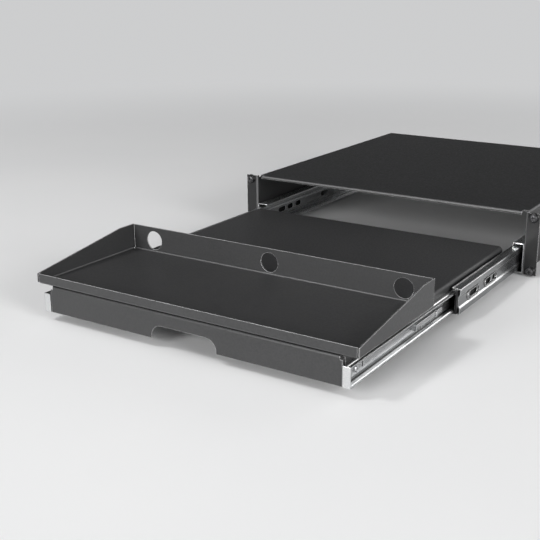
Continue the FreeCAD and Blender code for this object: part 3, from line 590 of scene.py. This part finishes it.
def facing(point, direction):
    """Local Z turned to a direction, standing at a point."""
    return Matrix.Translation(point) @ Vector(direction).to_track_quat("Z", "Y").to_matrix().to_4x4()


def outward_seat(low, high, head_height):
    """Seat of a head that faces away from the drawer, and the height of its shank's end from there."""
    middle = (low + high) / 2
    side = 1 if middle.x > 0 else -1
    head_x = high.x if side > 0 else low.x
    place = facing((head_x - side * head_height * MM, middle.y, middle.z), (side, 0, 0))
    return place, -(high.x - low.x) / MM + head_height


def make_piece(name, bm, node):
    """Turns a mesh into a piece that stands for a node and rides on its body."""
    bmesh.ops.recalc_face_normals(bm, faces=bm.faces)
    mesh = bpy.data.meshes.new(name)
    bm.to_mesh(mesh)
    bm.free()
    mesh.shade_smooth()
    mesh.set_sharp_from_angle(angle=math.radians(SMOOTH_ANGLE))
    mesh.materials.append(finishes[slot_of(node)])
    piece = bpy.data.objects.new(name, mesh)
    bpy.context.collection.objects.link(piece)
    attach(piece, body_of(node))
    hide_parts(node)


def rack_screws():
    """Pan-head screws with a cross recess and a rolled thread behind the ears."""
    bm = bmesh.new()
    seat_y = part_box("cup_washers")[0].y
    ear_back = seat_y / MM
    for low, high in solids("rack_screws"):
        middle = (low + high) / 2
        place = facing((middle.x, seat_y, middle.z), (0, -1, 0))
        end = -(high.y - seat_y) / MM
        radius = (high.x - low.x) / 2 / MM
        rings = head_rings(bm, place, radius, (seat_y - low.y) / MM, RACK_SCREW_RECESS)
        for height in (0, ear_back + RACK_SCREW_RUNOUT):
            rings.append(ring_at(bm, place, RACK_SCREW_NECK, height))
        rings += shank_rings(bm, place, RACK_SCREW_THREAD, RACK_SCREW_TIP, ear_back, end)
        bridge(bm, rings)
    make_piece("rack_screws_cross", bm, "rack_screws")


def cup_washers():
    """Cup washers with a flat foot, a hollow flank and a rolled rim."""
    bm = bmesh.new()
    for low, high in solids("cup_washers"):
        middle = (low + high) / 2
        turned(bm, facing((middle.x, high.y, middle.z), (0, -1, 0)), WASHER_PROFILE, closed=True)
    make_piece("cup_washers_rolled", bm, "cup_washers")


def slide_rivets():
    """Rivets with low domed heads inside, set flush and hollow outside."""
    bm = bmesh.new()
    head_height = RIVET_PROFILE[0][1]
    for low, high in solids("slide_rivets"):
        middle = (low + high) / 2
        side = 1 if middle.x > 0 else -1
        head_x = low.x if side > 0 else high.x
        seat = Vector((head_x + side * head_height * MM, middle.y, middle.z))
        turned(bm, facing(seat, (-side, 0, 0)), RIVET_PROFILE)
    make_piece("slide_rivets_domed", bm, "slide_rivets")


def inner_slide_screws():
    """Small pan-head screws of the inner members."""
    bm = bmesh.new()
    for low, high in solids("inner_slide_screws"):
        place, end = outward_seat(low, high, SLIDE_SCREW_HEAD)
        radius = (high.z - low.z) / 2 / MM
        rings = head_rings(bm, place, radius, SLIDE_SCREW_HEAD, SLIDE_SCREW_RECESS)
        rings.append(ring_at(bm, place, SLIDE_SCREW_NECK, 0))
        rings += shank_rings(bm, place, SLIDE_SCREW_THREAD, SLIDE_SCREW_TIP, -SLIDE_SCREW_RUNOUT, end)
        bridge(bm, rings)
    make_piece("inner_slide_screws_cross", bm, "inner_slide_screws")


def lever_pins():
    """Pivot pins with a low dome, flush at their riveted ends."""
    bm = bmesh.new()
    tip_radius, tip_length = PIN_TIP
    for low, high in solids("lever_pins"):
        place, end = outward_seat(low, high, PIN_HEAD)
        shank = ((PIN_RADIUS, 0.0), (PIN_RADIUS, end + tip_length), (tip_radius, end), (0, end))
        turned(bm, place, PIN_HEAD_PROFILE + shank)
    make_piece("lever_pins_domed", bm, "lever_pins")


def bearing_balls(node):
    """Smooth balls in the places of the faceted ones."""
    bm = bmesh.new()
    for low, high in solids(node):
        place = Matrix.Translation((low + high) / 2)
        bmesh.ops.create_uvsphere(bm, u_segments=BALL_STEPS, v_segments=BALL_STEPS // 2,
                                  radius=(high.y - low.y) / 2, matrix=place)
    make_piece(node + "_smooth", bm, node)


def floor_material():
    """Matt pale floor, a little uneven in tone; far from the object it keeps its tone as a backdrop."""
    floor = Shader("floor_pale", specular=FLOOR_GLOSS)
    floor.surface.inputs["Roughness"].default_value = FLOOR_ROUGHNESS
    floor.finish(floor.clouds(floor.noise(scale=3, detail=3.0), FLOOR_TONES))
    tree = floor.tree
    reach = tree.nodes.new("ShaderNodeVectorMath")
    reach.operation = "LENGTH"
    floor.link(floor.place, reach.inputs[0])
    far = floor.spread(reach.outputs["Value"], 0.0, 1.0, *FLOOR_FADE)
    far.node.interpolation_type = "SMOOTHSTEP"
    rays = tree.nodes.new("ShaderNodeLightPath").outputs
    seen = rays["Is Camera Ray"]
    for ray in ("Is Glossy Ray", "Is Transmission Ray"):
        seen = floor.larger(seen, rays[ray])
    backdrop = tree.nodes.new("ShaderNodeEmission")
    backdrop.inputs["Color"].default_value = BACKDROP_COLOUR
    blend = tree.nodes.new("ShaderNodeMixShader")
    floor.link(floor.times(far, seen), blend.inputs["Fac"])
    floor.link(floor.surface.outputs["BSDF"], blend.inputs[1])
    floor.link(backdrop.outputs["Emission"], blend.inputs[2])
    floor.link(blend.outputs["Shader"], tree.nodes["Material Output"].inputs["Surface"])
    return floor.material


def make_floor():
    bpy.ops.mesh.primitive_plane_add(size=FLOOR_SIZE, location=(0, 0, cad_low.z - FLOOR_GAP))
    floor = bpy.context.object
    floor.name = "floor"
    floor.data.materials.append(floor_material())


def make_light(name, place, aim, size, power):
    """A square soft light that faces a point."""
    data = bpy.data.lights.new(name, "AREA")
    data.shape = "SQUARE"
    data.size = size
    data.energy = power
    light = bpy.data.objects.new(name, data)
    bpy.context.collection.objects.link(light)
    light.location = place
    light.visible_camera = False
    light.rotation_euler = (Vector(aim) - Vector(place)).to_track_quat("-Z", "Y").to_euler()


def make_world():
    """A backdrop as pale as the floor at the horizon, dim above it."""
    world = bpy.data.worlds.new("studio")
    world.use_nodes = True
    tree = world.node_tree
    parts = tree.nodes.new("ShaderNodeSeparateXYZ")
    tree.links.new(tree.nodes.new("ShaderNodeTexCoord").outputs["Generated"], parts.inputs["Vector"])
    height = tree.nodes.new("ShaderNodeMapRange")
    height.interpolation_type = "SMOOTHSTEP"
    for socket, value in zip(("From Min", "From Max"), SKY_FADE):
        height.inputs[socket].default_value = value
    tree.links.new(parts.outputs["Z"], height.inputs["Value"])
    blend = tree.nodes.new("ShaderNodeMix")
    blend.data_type = "RGBA"
    tree.links.new(height.outputs["Result"], blend.inputs["Factor"])
    blend.inputs[MIX_FIRST].default_value = BACKDROP_COLOUR
    blend.inputs[MIX_SECOND].default_value = SKY_COLOUR
    tree.links.new(blend.outputs[MIX_RESULT], tree.nodes["Background"].inputs["Color"])
    bpy.context.scene.world = world


def make_camera():
    data = bpy.data.cameras.new("camera")
    data.lens = CAMERA_LENS
    data.sensor_width = CAMERA_SENSOR
    data.shift_x = CAMERA_SHIFT_X
    camera = bpy.data.objects.new("camera", data)
    bpy.context.collection.objects.link(camera)
    camera.location = CAMERA_PLACE
    camera.rotation_euler = (math.radians(90 - CAMERA_PITCH), 0, math.radians(CAMERA_TURN))
    bpy.context.scene.camera = camera


finishes = make_finishes()
paint_nodes()
rack_screws()
cup_washers()
slide_rivets()
inner_slide_screws()
lever_pins()
for side in SIDES:
    bearing_balls("outer_balls_" + side)
    bearing_balls("inner_balls_" + side)
make_floor()
make_world()
for light in LIGHTS:
    make_light(*light)
make_camera()
bpy.context.scene.view_settings.view_transform = "Standard"
